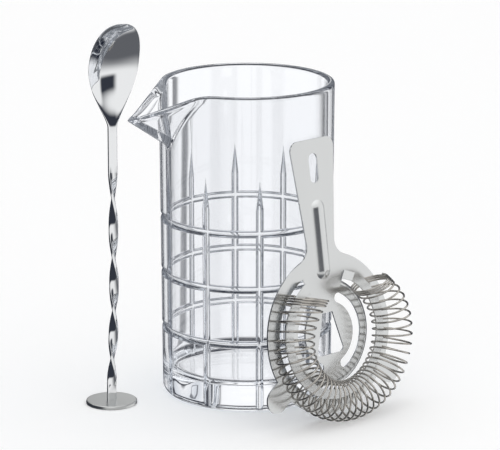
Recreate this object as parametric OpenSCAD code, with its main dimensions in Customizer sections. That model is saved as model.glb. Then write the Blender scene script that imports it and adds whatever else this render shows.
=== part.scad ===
// Cocktail pitcher set: a cut-glass mixing pitcher with a pouring lip, a bar spoon that stands
// on its muddler disc, and a sprung strainer that leans against the glass.
// The origin is the centre of the pitcher's flat foot, +Z is up and the lip points along -X.

/* [Glass] */
// Height of the pitcher, foot to rim
glass_h = 167.4; // [140:0.1:200]
// Outer radius of the wall at the rim
glass_rim_r = 45.75; // [40:0.05:55]
// Outer radius of the wall just above the heel
glass_foot_r = 44.5; // [39:0.05:50]
// Thickness of the wall at the rim
glass_wall = 4; // [3.2:0.1:6]
// Thickness of the solid base
glass_base_t = 13; // [8:0.5:20]
// Radius of the rounded heel outside
glass_heel_r = 5; // [3:0.5:7]
// Radius inside, where the wall meets the base
glass_corner_r = 6; // [2:0.5:10]

/* [Cut pattern] */
// Number of upright cuts round the wall
cut_count = 10; // [6:1:14]
// Number of ring cuts
ring_count = 3; // [1:1:3]
// Height of the top ring cut
ring_top_z = 96; // [90:0.5:100]
// Distance from one ring cut to the next
ring_pitch = 29.5; // [20:0.5:34]
// Width of a cut at the surface
cut_w = 3.8; // [2:0.1:5]
// Depth of a cut
cut_d = 1.5; // [0.8:0.1:1.9]
// Height where an upright cut starts to run out
cut_straight_z = 108; // [102:0.5:112]
// Length over which an upright cut runs out
cut_runout = 16; // [8:0.5:18]

/* [Spout] */
// Distance from the axis to the tip of the lip
spout_reach = 67.5; // [60:0.5:72]
// How far the tip lies below the rim
spout_drop = 14; // [8:0.5:18]
// How far below the rim the keel of the lip meets the wall
spout_keel_drop = 33; // [28:0.5:38]
// Half of the angle that the lip takes up on the rim
spout_half_angle = 33; // [25:0.5:38]
// Radius of the lip's rounded edge
spout_edge_r = 2; // [1.5:0.1:2.2]
// Radius of the groove inside the lip
spout_groove_r = 1.2; // [0.8:0.1:2]

/* [Bar spoon] */
// Height of the spoon, floor to tip of the bowl
spoon_h = 203; // [180:1:260]
// Width of the flat bar that the stem is made of
bar_w = 4.9; // [4:0.1:7]
// Thickness of the bar
bar_t = 1.9; // [1.5:0.1:3]
// Height where the twist starts
twist_start_z = 9.4; // [6:0.2:16]
// Length of the twisted stretch
twist_len = 114.8; // [90:0.2:120]
// Half turns in the twist
half_turns = 4; // [2:2:8]
// Length of the bowl with its neck
bowl_len = 55; // [45:0.5:56]
// Width of the bowl
bowl_w = 26.8; // [22:0.1:32]
// Thickness of the bowl
bowl_t = 1.2; // [0.8:0.1:1.8]
// Depth of the bowl's hollow
bowl_depth = 5.5; // [3:0.1:8]
// How far the tip of the bowl comes forward
bowl_forward = 8; // [4:0.5:10]
// How far the tip of the bowl leans to the side
bowl_lean = 3; // [0:0.1:4]
// How far the stem bows to the side above its foot
stem_bow = 2; // [0:0.1:3]
// Radius of the muddler disc
disc_r = 13.3; // [11:0.1:16]
// Thickness of the muddler disc
disc_t = 2; // [1.5:0.1:4]

/* [Strainer plate] */
// Radius of the round plate
plate_r = 42; // [40:0.1:44]
// Thickness of the sheet
sheet_t = 0.9; // [0.7:0.1:1.4]
// Distance from the plate's centre to the end of the handle
handle_end = 101.2; // [90:0.1:120]
// Width of the handle at its end
handle_w = 29.4; // [24:0.1:34]
// Width of the handle at its neck
neck_w = 18.9; // [17:0.1:22]
// Radius of the fillets between plate and neck
shoulder_r = 8.6; // [6:0.1:12]
// Radius of the handle's corners
handle_corner_r = 5; // [3:0.1:8]
// Radius of an ear's round end
ear_r = 6.7; // [5:0.1:7.5]
// Distance from the plate's centre to an ear's centre
ear_reach = 47.9; // [46:0.1:52]
// Angle between an ear and straight down
ear_angle = 54.9; // [45:0.1:65]
// Inner radius of the strip that is raised from the plate
strip_in_r = 28.5; // [27:0.1:29.5]
// Outer radius of the strip
strip_out_r = 34; // [32:0.1:35]
// Height of the flute pressed up in the handle
flute_d = 1.8; // [1:0.1:2.4]
// Width of the flute
flute_w = 9.6; // [7:0.1:11]
// Height that the strip is raised
strip_lift = 4; // [3:0.1:5]
// Half of the angle below the handle where the plate stays whole
strip_free_angle = 25; // [20:0.5:27]
// Angle that each sloping end of the strip takes up
ramp_angle = 6; // [6:0.5:9]

/* [Strainer spring] */
// Diameter of the spring wire
wire_d = 1; // [0.8:0.05:1.1]
// Radius of the ring that the coils follow
ring_r = 34.2; // [33.8:0.1:34.4]
// Radius of a coil, to the middle of the wire
coil_r = 10.2; // [9.8:0.1:10.4]
// Number of open turns
open_turns = 36; // [28:1:36]
// Number of close turns at each end
close_turns = 3; // [2:1:4]

/* [Set on the table] */
// Direction from the glass that the strainer leans in, from +X
strainer_dir = -75.34; // [-100:0.01:-50]
// How far the strainer leans back
strainer_lean = 7.82; // [6:0.01:10]
// Turn of the strainer in its own plane
strainer_roll = 0.54; // [0:0.01:2]
// Sideways shift of the strainer's centre
strainer_shift = 3.6; // [-8:0.1:8]
// Distance from the glass axis to the spoon
spoon_reach = 75.5; // [75:0.1:90]
// Direction from the glass to the spoon, from +X
spoon_dir = 173.8; // [165:0.1:190]
// Turn of the spoon's hollow from facing -Y
spoon_turn = -6.5; // [-30:0.5:30]

/* [Hidden] */
$fn = 96;

// Clearances and overruns
lean_gap = 0.3;
coil_gap = 0.3;
floor_gap = 0.05;
overrun = 1;

// Glass: the wall's outside leans out a little, and the inside is a straight bore
glass_bore_r = glass_rim_r - glass_wall;
wall_taper = atan((glass_rim_r - glass_foot_r) / (glass_h - glass_heel_r));
lip_r = glass_wall / 2;
arc_steps = 8;
hull_fn = 16;
runout_angle = atan(cut_d / cut_runout);
cut_low_z = -overrun;

function wall_r(z) = glass_foot_r + (z - glass_heel_r) * tan(wall_taper);
function arc(cx, cy, r, a0, a1, steps) =
    [for (i = [0:steps]) let (a = a0 + (a1 - a0) * i / steps) [cx + r * cos(a), cy + r * sin(a)]];
function polar(r, a, z) = [r * cos(a), r * sin(a), z];

// Half profile of the pitcher with its ring cuts
function ring_notch(z) = [
    [wall_r(z - cut_w / 2), z - cut_w / 2],
    [wall_r(z) - cut_d, z],
    [wall_r(z + cut_w / 2), z + cut_w / 2]
];
ring_notches = [for (i = [ring_count - 1:-1:0]) each ring_notch(ring_top_z - i * ring_pitch)];
lip_centre_r = glass_rim_r - lip_r;
glass_profile = concat(
    [[0, 0]],
    arc(glass_foot_r - glass_heel_r, glass_heel_r, glass_heel_r, -90, 0, arc_steps),
    ring_notches,
    arc(lip_centre_r, glass_h - lip_r, lip_r, 0, 180, 2 * arc_steps),
    arc(glass_bore_r - glass_corner_r, glass_base_t + glass_corner_r, glass_corner_r, 0, -90, arc_steps),
    [[0, glass_base_t]]
);

// Spout: four places for the outer skin and four for the groove inside it
tip_r = spout_reach - spout_edge_r;
tip_z = glass_h - spout_drop - spout_edge_r;
root_z = glass_h - spout_edge_r - spout_edge_r / 8;
keel_z = glass_h - spout_keel_drop + spout_edge_r;
groove_wall = glass_wall * 0.85;
groove_half_angle = spout_half_angle - asin((glass_wall - spout_groove_r) / glass_rim_r);
groove_tip_r = spout_reach - groove_wall - spout_groove_r;
groove_tip_z = tip_z + spout_edge_r + spout_groove_r / 3;
groove_keel_z = keel_z + 2 * spout_edge_r;
groove_root_r = glass_bore_r - spout_groove_r / 2;
groove_top_z = glass_h + spout_drop;

// Spoon: one loft of rings, from the foot up through the twist and the neck to the bowl
ring_sides = 24;
squareness = 4;
roundness = 2;
bowl_wide_share = 0.41;
bow_share = 0.3;
twist_rise = 0.2;
tip_power = 2.4;
neck_power = 1.5;
hollow_power = 1.5;
front_power = 2.2;
sag_share = 1.1;
twist_step = 15;
twist_rings = half_turns * 180 / twist_step;
neck_rings = 14;
tip_angles = [78, 66, 54, 43, 33, 24, 16, 9, 3];
bowl_wide_d = bowl_len * bowl_wide_share;
bowl_base_z = spoon_h - bowl_len;

function signed_power(v, p) = sign(v) * pow(abs(v), p);
function smooth_step(t) = t * t * (3 - 2 * t);
function bowl_rise(z) = max(0, (z - bowl_base_z) / bowl_len);
function below_wide(z) = (spoon_h - z - bowl_wide_d) / (bowl_len - bowl_wide_d);
function above_wide(z) = 1 - (spoon_h - z) / bowl_wide_d;
function neck_half_w(z) =
    bar_w / 2 + (bowl_w - bar_w) / 2 * pow(1 - pow(below_wide(z), 2), neck_power);
function tip_half_w(z) = bowl_w / 2 * pow(1 - pow(above_wide(z), tip_power), 1 / tip_power);
function spoon_half_w(z) =
    z <= bowl_base_z ? bar_w / 2
    : spoon_h - z > bowl_wide_d ? neck_half_w(z)
    : tip_half_w(z);
function spoon_t(z) = bar_t + (bowl_t - bar_t) * smooth_step(min(1, 2 * bowl_rise(z)));
function hollow(z) =
    bowl_depth * (pow(2 * spoon_half_w(z) / bowl_w, hollow_power) - pow(bar_w / bowl_w, hollow_power));
function spoon_dish(z) = max(0, hollow(z));
function spoon_side(z) =
    stem_bow * smooth_step(min(1, z / (bow_share * spoon_h))) + bowl_lean * pow(bowl_rise(z), 2);
function spoon_sag(rise) = sag_share * smooth_step(rise) * (1 - rise);
function spoon_front(z) = bowl_forward * (pow(bowl_rise(z), front_power) - spoon_sag(bowl_rise(z)));
function spoon_corner(z) = squareness + (roundness - squareness) * min(1, 3 * bowl_rise(z));
function twist_share(z) = min(1, max(0, (z - twist_start_z) / twist_len));
function spoon_twist(z) =
    let (s = twist_share(z))
    -180 * half_turns * s * (1 + twist_rise * (1 - s));
function spoon_point(z, a) =
    let (
        p = 2 / spoon_corner(z),
        x = spoon_half_w(z) * signed_power(cos(a), p),
        across = x / spoon_half_w(z),
        y = spoon_t(z) / 2 * signed_power(sin(a), p) + spoon_dish(z) * (1 - across * across)
    )
    let (t = spoon_twist(z))
    [x * cos(t) - y * sin(t) + spoon_side(z), x * sin(t) + y * cos(t) - spoon_front(z), z];
spoon_levels = concat(
    [disc_t],
    [for (i = [0:twist_rings]) twist_start_z + twist_len * i / twist_rings],
    [for (i = [0:neck_rings]) bowl_base_z + (bowl_len - bowl_wide_d) * i / neck_rings],
    [for (a = tip_angles) spoon_h - bowl_wide_d * (1 - cos(a))]
);

// Strainer plate, drawn flat: x runs across, y up the handle, z out of the spring side
free_from = 90 + strip_free_angle;
free_to = 450 - strip_free_angle;
shoulder_y = sqrt(pow(plate_r + shoulder_r, 2) - pow(neck_w / 2 + shoulder_r, 2));
shoulder_x = neck_w / 2 + shoulder_r;
shoulder_touch = plate_r / (plate_r + shoulder_r);
corner_x = handle_w / 2 - handle_corner_r;
corner_y = handle_end - handle_corner_r;
side_run = sqrt(pow(corner_x - neck_w / 2, 2) + pow(corner_y - shoulder_y, 2));
side_angle = atan2(corner_y - shoulder_y, corner_x - neck_w / 2) - asin(handle_corner_r / side_run);
hang_w = 5.8;
hang_len = 15.3;
hang_end = 7.3;
hang_high_y = handle_end - hang_end;
hang_low_y = hang_high_y - hang_len;
arc_slot_r = 19;
arc_slot_w = 5.1;
arc_slot_half = 64;
window_top_y = 10.8;
window_low_y = -11;
window_top_x = 3.5;
window_low_x = 8.9;
window_r = 2.4;
lip_in_r = 24.5;
lip_turn = 2;
seam_angle = 1;
flute_low_y = 33;
flute_high_y = 65;
flute_ball_r = (pow(flute_w / 2, 2) + pow(flute_d, 2)) / (2 * flute_d);
strip_mid_r = (strip_in_r + strip_out_r) / 2;
strip_w = strip_out_r - strip_in_r;
ramp_len = strip_mid_r * sin(ramp_angle);
ramp_inset = 0.1;
ramp_flat = 0.3;

// Spring: its turns follow a ring round the plate's middle, and stand straighter towards the ends
ring_steps = 8;
wire_sides = 6;
ring_low = -90;
open_half = 130;
fan_half = 80;
end_inset = 2.8;
close_gap = 2.8;
even_share = 0.89;
all_turns = open_turns + 2 * close_turns;
coil_z = coil_r + wire_d / 2 + coil_gap;
function open_share(s) = s * (even_share + (1 - even_share) * s * s);
function turn_swing(t) =
    t < close_turns ? open_half + close_gap * (close_turns - t)
    : t > close_turns + open_turns ? -open_half - close_gap * (t - close_turns - open_turns)
    : open_half * open_share(1 - 2 * (t - close_turns) / open_turns);
function past_fan(w) = max(0, min(1, (abs(w) - fan_half) / (open_half - fan_half)));
function turn_face(w) =
    sign(w) * (min(abs(w), open_half) - (open_half - fan_half) / 2 * pow(past_fan(w), 2));
function coil_out(k) =
    let (a = ring_low + turn_face(turn_swing(k / ring_steps)), c = 360 * k / ring_steps)
    [cos(c) * cos(a), cos(c) * sin(a), sin(c)];
function coil_centre(k) =
    let (w = turn_swing(k / ring_steps), r = ring_r - end_inset * pow(past_fan(w), 2))
    polar(r, ring_low + w, coil_z);
function coil_point(k) = coil_centre(k) + coil_r * coil_out(k);
function unit(v) = v / norm(v);
last_k = all_turns * ring_steps;
function coil_run(k) = unit(coil_point(min(last_k, k + 1)) - coil_point(max(0, k - 1)));
spring_path = [for (k = [0:last_k]) coil_point(k)];
function wire_ring(p, out, run) =
    let (side = unit(cross(run, out)), up = cross(side, run))
    [for (i = [0:wire_sides - 1])
        let (a = 360 * i / wire_sides)
        p + wire_d / 2 * (cos(a) * up + sin(a) * side)];
function spring_rings() = concat(
    [wire_ring(spring_path[0] - wire_d * coil_run(0), coil_out(0), coil_run(0))],
    [for (k = [0:last_k]) wire_ring(spring_path[k], coil_out(k), coil_run(k))],
    [wire_ring(spring_path[last_k] + wire_d * coil_run(last_k), coil_out(last_k), coil_run(last_k))]
);
function to_segment(p, a, b) =
    let (ab = b - a, t = max(0, min(1, (p - a) * ab / (ab * ab))))
    norm(p - a - t * ab);
near_turn = [ring_steps / 2 + 1:3 * ring_steps / 2 - 1];
spring_gap = min([for (k = [0:last_k - 1])
    for (n = near_turn)
        if (k + n < last_k) to_segment(spring_path[k], spring_path[k + n], spring_path[k + n + 1])
]) - wire_d;
echo(str("least gap between the turns of the spring: ", spring_gap, " mm"));

// Set on the table: the spring's lowest turn stands on the floor and the handle's back meets the glass
plate_centre_z = ring_r * cos(strainer_lean) - coil_z * sin(strainer_lean)
    + coil_r + wire_d / 2 + floor_gap;
rest_z = plate_centre_z + handle_end * cos(strainer_lean);
plate_dist = wall_r(rest_z) + lean_gap
    + handle_end * sin(strainer_lean) + sheet_t * cos(strainer_lean);

// Closed skin through rings of points that all have the same number of sides
module loft(rings, sides) {
    count = len(rings);
    points = [for (r = rings) each r];
    low_cap = [[for (i = [0:sides - 1]) i]];
    high_cap = [[for (i = [sides - 1:-1:0]) (count - 1) * sides + i]];
    walls = [for (j = [0:count - 2])
        for (i = [0:sides - 1])
            let (n = (i + 1) % sides, a = j * sides, b = a + sides)
            each [[a + i, b + i, b + n], [a + i, b + n, a + n]]
    ];
    polyhedron(points, concat(low_cap, walls, high_cap), convexity = 10);
}

// One upright V cut: straight up the wall, then running out of it
module upright_cut() {
    side_w = cut_w / 2 * (cut_d + overrun) / cut_d;
    v_shape = [[-cut_d, 0], [overrun, -side_w], [overrun, side_w]];
    translate([wall_r(cut_low_z), 0, cut_low_z])
        rotate([0, wall_taper, 0])
            linear_extrude(cut_straight_z - cut_low_z)
                polygon(v_shape);
    translate([wall_r(cut_straight_z) - cut_d, 0, cut_straight_z])
        rotate([0, wall_taper + runout_angle, 0])
            translate([cut_d, 0, 0])
                linear_extrude(2 * cut_runout)
                    polygon(v_shape);
}

module spout_skin() {
    hull() {
        translate(polar(tip_r, 0, tip_z))
            sphere(spout_edge_r, $fn = hull_fn);
        translate(polar(lip_centre_r, 0, keel_z))
            sphere(spout_edge_r, $fn = hull_fn);
        for (side = [-1, 1])
            translate(polar(lip_centre_r, side * spout_half_angle, root_z))
                sphere(spout_edge_r, $fn = hull_fn);
    }
}

module spout_groove() {
    hull() {
        translate(polar(groove_root_r, 0, groove_keel_z))
            sphere(spout_groove_r, $fn = hull_fn);
        for (z = [groove_tip_z, groove_top_z])
            translate(polar(groove_tip_r, 0, z))
                sphere(spout_groove_r, $fn = hull_fn);
        for (side = [-1, 1])
            for (z = [root_z, groove_top_z])
                translate(polar(groove_root_r, side * groove_half_angle, z))
                    sphere(spout_groove_r, $fn = hull_fn);
    }
}

module glass_pitcher() {
    color([0.86, 0.92, 0.95, 0.35])
        difference() {
            union() {
                rotate_extrude()
                    polygon(glass_profile);
                rotate([0, 0, 180])
                    spout_skin();
            }
            rotate([0, 0, 180])
                spout_groove();
            translate([0, 0, glass_base_t + glass_corner_r])
                cylinder(h = glass_h, r = glass_bore_r);
            for (i = [0:cut_count - 1])
                rotate([0, 0, 180 + 360 * i / cut_count])
                    upright_cut();
        }
}

// Puts the spoon's own frame, with its hollow facing -Y, where it stands beside the glass
module at_spoon() {
    translate(polar(spoon_reach, spoon_dir, 0))
        rotate([0, 0, spoon_turn])
            children();
}

module bar_spoon() {
    angles = [for (i = [0:ring_sides - 1]) 360 * i / ring_sides];
    color("silver")
        at_spoon()
            loft([for (z = spoon_levels) [for (a = angles) spoon_point(z, a)]], ring_sides);
}

module muddler_disc() {
    edge_r = disc_t / 4;
    disc_profile = concat(
        [[0, 0]],
        arc(disc_r - edge_r, edge_r, edge_r, -90, 0, arc_steps),
        arc(disc_r - edge_r, disc_t - edge_r, edge_r, 0, 90, arc_steps),
        [[0, disc_t]]
    );
    color("lightgray")
        at_spoon()
            rotate_extrude()
                polygon(disc_profile);
}

// Puts the strainer's own frame where it leans against the glass
module at_strainer() {
    rotate([0, 0, strainer_dir + 90])
        translate([strainer_shift, -plate_dist, plate_centre_z])
            rotate([90 - strainer_lean, 0, 0])
                rotate([0, 0, strainer_roll])
                    children();
}

// Handle outline, from the neck's fillets to its rounded end
module handle_outline() {
    touch = handle_corner_r * [sin(side_angle), -cos(side_angle)];
    difference() {
        polygon([
            [0, 0],
            shoulder_touch * [shoulder_x, shoulder_y],
            [shoulder_x, shoulder_y],
            [-shoulder_x, shoulder_y],
            shoulder_touch * [-shoulder_x, shoulder_y]
        ]);
        for (side = [-1, 1])
            translate([side * shoulder_x, shoulder_y])
                circle(shoulder_r);
    }
    polygon([
        [neck_w / 2, shoulder_y],
        [corner_x + touch[0], corner_y + touch[1]],
        [corner_x, corner_y],
        [corner_x, handle_end],
        [-corner_x, handle_end],
        [-corner_x, corner_y],
        [-corner_x - touch[0], corner_y + touch[1]],
        [-neck_w / 2, shoulder_y]
    ]);
    for (side = [-1, 1])
        translate([side * corner_x, corner_y])
            circle(handle_corner_r);
}

// One of the two ears that hang on a rim
module ear_outline(side) {
    rotate(-90 + side * ear_angle) {
        translate([ear_reach, 0])
            circle(ear_r);
        translate([ear_reach / 2, -ear_r])
            square([ear_reach / 2, 2 * ear_r]);
    }
}

// Sector that bounds a ring, from one angle to another
module sector(r, a0, a1) {
    steps = 12;
    polygon(concat([[0, 0]], arc(0, 0, r, a0, a1, steps)));
}

module ring_piece(r0, r1, a0, a1) {
    difference() {
        intersection() {
            circle(r1);
            sector(2 * r1, a0, a1);
        }
        circle(r0);
    }
}

module arc_slot(side) {
    mirror([side < 0 ? 1 : 0, 0])
        union() {
            ring_piece(
                arc_slot_r - arc_slot_w / 2, arc_slot_r + arc_slot_w / 2,
                -arc_slot_half, arc_slot_half
            );
            for (end = [-1, 1])
                translate([arc_slot_r * cos(arc_slot_half), end * arc_slot_r * sin(arc_slot_half)])
                    circle(arc_slot_w / 2);
        }
}

// Bell-shaped window in the middle, with round corners
module window() {
    corners = [
        [window_top_x, window_top_y],
        [window_low_x, window_low_y + window_r],
        [window_low_x - window_r, window_low_y],
        [window_r - window_low_x, window_low_y],
        [-window_low_x, window_low_y + window_r],
        [-window_top_x, window_top_y]
    ];
    polygon(corners);
    for (side = [-1, 1])
        translate([side * (window_low_x - window_r), window_low_y + window_r])
            circle(window_r);
}

module hang_slot() {
    for (y = [hang_low_y + hang_w / 2, hang_high_y - hang_w / 2])
        translate([0, y])
            circle(hang_w / 2);
    translate([-hang_w / 2, hang_low_y + hang_w / 2])
        square([hang_w, hang_high_y - hang_low_y - hang_w]);
}

// Body of the flute pressed up in the handle: a long mound with round ends
module flute(r) {
    centre_z = flute_d - flute_ball_r;
    translate([0, flute_low_y, centre_z])
        rotate([-90, 0, 0])
            cylinder(h = flute_high_y - flute_low_y, r = r);
    for (y = [flute_low_y, flute_high_y])
        translate([0, y, centre_z])
            sphere(r);
}

module plate_sheet() {
    translate([0, 0, -sheet_t])
        linear_extrude(sheet_t)
            difference() {
                union() {
                    circle(plate_r);
                    handle_outline();
                    for (side = [-1, 1])
                        ear_outline(side);
                }
                ring_piece(lip_in_r, strip_out_r, free_from, free_to);
                for (side = [-1, 1])
                    arc_slot(side);
                window();
                hang_slot();
            }
}

// Edge of the middle, turned back all along the strip
module turned_edge() {
    turn_w = strip_in_r - coil_gap - lip_in_r;
    curve = [for (i = [1:arc_steps]) let (t = i / arc_steps) [lip_in_r + turn_w * t, -lip_turn * t * t]];
    profile = concat(
        [[lip_in_r - sheet_t, -0.3 * sheet_t]],
        curve,
        [for (i = [arc_steps - 1:-1:0]) curve[i] - [0, sheet_t]],
        [[lip_in_r - sheet_t, -0.7 * sheet_t]]
    );
    rotate([0, 0, free_from - seam_angle])
        rotate_extrude(angle = free_to - free_from + 2 * seam_angle)
            polygon(profile);
}

// The strip that holds the spring, raised from the plate, with its two sloping ends
module raised_strip() {
    rotate([0, 0, free_from + ramp_angle])
        rotate_extrude(angle = free_to - free_from - 2 * ramp_angle)
            translate([strip_in_r + coil_gap, strip_lift])
                square([strip_w - 2 * coil_gap, sheet_t]);
    for (side = [-1, 1])
        mirror([side < 0 ? 1 : 0, 0, 0])
            strip_ramp();
}

module strip_ramp() {
    end_angle = 90 - strip_free_angle - ramp_angle;
    rise = strip_lift + sheet_t;
    rotate([0, 0, end_angle])
        translate([strip_in_r + coil_gap + ramp_inset, 0, 0])
            rotate([90, 0, 90])
                linear_extrude(strip_w - 2 * coil_gap - 2 * ramp_inset)
                    polygon([
                        [-overrun / 2, strip_lift],
                        [ramp_flat, strip_lift],
                        [ramp_len, -sheet_t],
                        [ramp_len + overrun, -sheet_t],
                        [ramp_len + overrun, 0],
                        [ramp_len, 0],
                        [ramp_flat, rise],
                        [-overrun / 2, rise]
                    ]);
}

module strainer_plate() {
    color("gainsboro")
        at_strainer()
            union() {
                difference() {
                    union() {
                        plate_sheet();
                        intersection() {
                            flute(flute_ball_r);
                            translate([-flute_w, flute_low_y - flute_w, -sheet_t])
                                cube([2 * flute_w, flute_high_y - flute_low_y + 2 * flute_w,
                                    flute_d + 2 * sheet_t]);
                        }
                    }
                    flute(flute_ball_r - sheet_t);
                }
                turned_edge();
                raised_strip();
            }
}

module strainer_spring() {
    color("dimgray")
        at_strainer()
            loft(spring_rings(), wire_sides);
}

glass_pitcher();
bar_spoon();
muddler_disc();
strainer_plate();
strainer_spring();
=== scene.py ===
import math

import bpy
from mathutils import Matrix, Vector


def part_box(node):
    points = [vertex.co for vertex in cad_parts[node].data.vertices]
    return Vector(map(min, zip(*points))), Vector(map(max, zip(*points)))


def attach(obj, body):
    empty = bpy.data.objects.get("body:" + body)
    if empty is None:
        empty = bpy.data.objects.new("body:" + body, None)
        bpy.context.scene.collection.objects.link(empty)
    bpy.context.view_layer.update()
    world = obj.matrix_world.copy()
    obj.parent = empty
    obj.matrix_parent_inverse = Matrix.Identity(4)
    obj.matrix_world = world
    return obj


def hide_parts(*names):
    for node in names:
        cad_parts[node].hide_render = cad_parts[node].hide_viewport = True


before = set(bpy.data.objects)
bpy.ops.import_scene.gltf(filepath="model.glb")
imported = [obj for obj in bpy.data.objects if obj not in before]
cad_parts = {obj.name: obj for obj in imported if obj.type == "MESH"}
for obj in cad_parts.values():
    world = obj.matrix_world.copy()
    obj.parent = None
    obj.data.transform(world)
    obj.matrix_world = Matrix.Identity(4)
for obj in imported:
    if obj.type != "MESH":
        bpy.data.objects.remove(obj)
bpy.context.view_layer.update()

bl_info = {
    "name": "Cocktail pitcher set",
    "version": (1, 0, 0),
    "blender": (4, 5, 0),
    "location": "View3D > Sidebar > Pitcher",
    "description": "Builds a cut-glass mixing pitcher with its bar spoon and sprung strainer",
    "category": "Object",
}

GLASS_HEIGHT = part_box("glass_pitcher")[1].z
SPOON_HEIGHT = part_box("bar_spoon")[1].z
MM = 0.001
LEAN_GAP = 0.3 * MM
COIL_GAP = 0.3 * MM
FLOOR_GAP = 0.05 * MM


def length(name, description, default):
    """A size of a piece, in metres."""
    return bpy.props.FloatProperty(
        name=name, description=description, default=default, min=0, unit="LENGTH", precision=5
    )


def angle(name, description, degrees):
    """An angle, given here in degrees."""
    return bpy.props.FloatProperty(
        name=name, description=description, default=math.radians(degrees), unit="ROTATION"
    )


def colour(name, description, default):
    """A colour that the user can pick."""
    return bpy.props.FloatVectorProperty(
        name=name, description=description, default=default, size=len(default), min=0, max=1,
        subtype="COLOR",
    )


class PitcherSettings(bpy.types.PropertyGroup):
    height: length("Height", "Foot to rim", GLASS_HEIGHT)
    rim_radius: length("Rim radius", "Outside of the wall at the rim", 45.75 * MM)
    foot_radius: length("Foot radius", "Outside of the wall above the heel", 44.5 * MM)
    wall: length("Wall", "Thickness of the wall at the rim", 4 * MM)
    base: length("Base", "Thickness of the solid base", 13 * MM)
    heel: length("Heel", "Radius of the rounded heel", 5 * MM)
    corner: length("Inside corner", "Radius where the bore meets the base", 6 * MM)
    cuts: bpy.props.IntProperty(name="Upright cuts", description="Cuts round the wall", default=10)
    cut_width: length("Cut width", "Width of a cut at the surface", 3.8 * MM)
    cut_depth: length("Cut depth", "Depth of a cut", 1.5 * MM)
    cut_straight: length("Straight cut", "Height where a cut starts to run out", 108 * MM)
    cut_runout: length("Run-out", "Length over which a cut runs out", 16 * MM)
    ring_top: length("Top ring", "Height of the top ring cut", 96 * MM)
    ring_pitch: length("Ring pitch", "From one ring cut to the next", 29.5 * MM)
    rings: bpy.props.IntProperty(name="Ring cuts", description="Number of ring cuts", default=3)
    reach: length("Lip reach", "From the axis to the tip of the lip", 66.2 * MM)
    drop: length("Lip drop", "How far the tip lies below the rim", 14.6 * MM)
    keel_drop: length("Keel drop", "How far below the rim the keel starts", 33 * MM)
    lip_half: angle("Lip half angle", "Half of the angle that the lip takes up", 33)
    tint: colour("Tint", "Colour of the clear glass", (0.93, 0.935, 0.945))
    # Painted shade: the colour that glass seen at a slant darkens to, standing in for its dark edges.
    painted_edge_shade: colour("Edge tint", "Colour of the glass at a slant", (0.16, 0.19, 0.24))
    # Painted shade on the flanks of the cuts.
    painted_cut_flank_shade: colour("Cut tint", "Colour on the flanks of the cuts", (0.42, 0.46, 0.52))
    shadow_tint: colour("Shadow tint", "Light that the glass lets through to the floor", (0.9, 0.92, 0.94))
    # Painted glow: emission colours in the walls, in their dark streaks and in the base, standing in for
    # light caught in the glass.
    painted_wall_glow: colour("Trapped tint", "Light that stays in the walls", (0.15, 0.16, 0.175))
    painted_wall_glow_dark: colour("Trapped dark", "The same in the dark streaks", (0.012, 0.013, 0.018))
    painted_base_glow: colour("Base glow", "Light that stays in the thick base", (0.26, 0.27, 0.285))


class SpoonSettings(bpy.types.PropertyGroup):
    height: length("Height", "Foot to the tip of the bowl", SPOON_HEIGHT)
    bar_width: length("Bar width", "Width of the flat bar", 4.9 * MM)
    bar_thickness: length("Bar thickness", "Thickness of the flat bar", 1.9 * MM)
    twist_start: length("Twist start", "Height where the twist starts", 9.4 * MM)
    twist_length: length("Twist length", "Length of the twisted stretch", 114.8 * MM)
    half_turns: bpy.props.IntProperty(name="Half turns", description="Half turns", default=4)
    bowl_length: length("Bowl length", "Length of the bowl with its neck", 55 * MM)
    bowl_width: length("Bowl width", "Width of the bowl", 26.8 * MM)
    bowl_thickness: length("Bowl thickness", "Thickness of the bowl", 1.2 * MM)
    bowl_depth: length("Bowl depth", "Depth of the hollow", 5.5 * MM)
    bowl_forward: length("Bowl forward", "How far the tip comes forward", 8 * MM)
    bowl_lean: length("Bowl lean", "How far the tip leans to the side", 3 * MM)
    stem_bow: length("Stem bow", "How far the stem bows to the side above its foot", 2 * MM)
    disc_thickness: length("Disc", "Thickness of the muddler disc", 2 * MM)
    distance: length("Distance", "From the pitcher's axis to the spoon", 75.5 * MM)
    direction: angle("Direction", "From the pitcher to the spoon", 173.8)
    turn: angle("Turn", "Turn of the hollow from facing -Y", -6.5)
    polish: colour("Polish", "Colour of the polished steel", (0.80, 0.81, 0.82))
    satin: colour("Disc", "Colour of the satin disc", (0.60, 0.61, 0.60))


class StrainerSettings(bpy.types.PropertyGroup):
    plate_radius: length("Plate radius", "Radius of the round plate", 42 * MM)
    sheet: length("Sheet", "Thickness of the sheet", 0.9 * MM)
    handle_end: length("Handle", "From the plate's centre to the end", 101.2 * MM)
    wire: length("Wire", "Diameter of the spring wire", 1 * MM)
    ring_radius: length("Ring radius", "Ring that the coils follow", 34.2 * MM)
    coil_radius: length("Coil radius", "Radius of a coil", 10.2 * MM)
    open_turns: bpy.props.IntProperty(name="Open turns", description="Open turns", default=36)
    close_turns: bpy.props.IntProperty(name="Close turns", description="At each end", default=3)
    direction: angle("Direction", "Direction that the strainer leans in", -75.34)
    lean: angle("Lean", "How far the strainer leans back", 7.82)
    roll: angle("Roll", "Turn of the strainer in its own plane", 0.54)
    shift: length("Shift", "Sideways shift of the strainer", 3.6 * MM)
    edge: length("Edge", "Rounding of the stamped edges", 0.14 * MM)
    steel: colour("Steel", "Colour of the satin sheet", (0.68, 0.69, 0.69))
    wire_steel: colour("Wire", "Colour of the drawn wire", (0.46, 0.44, 0.41))


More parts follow.
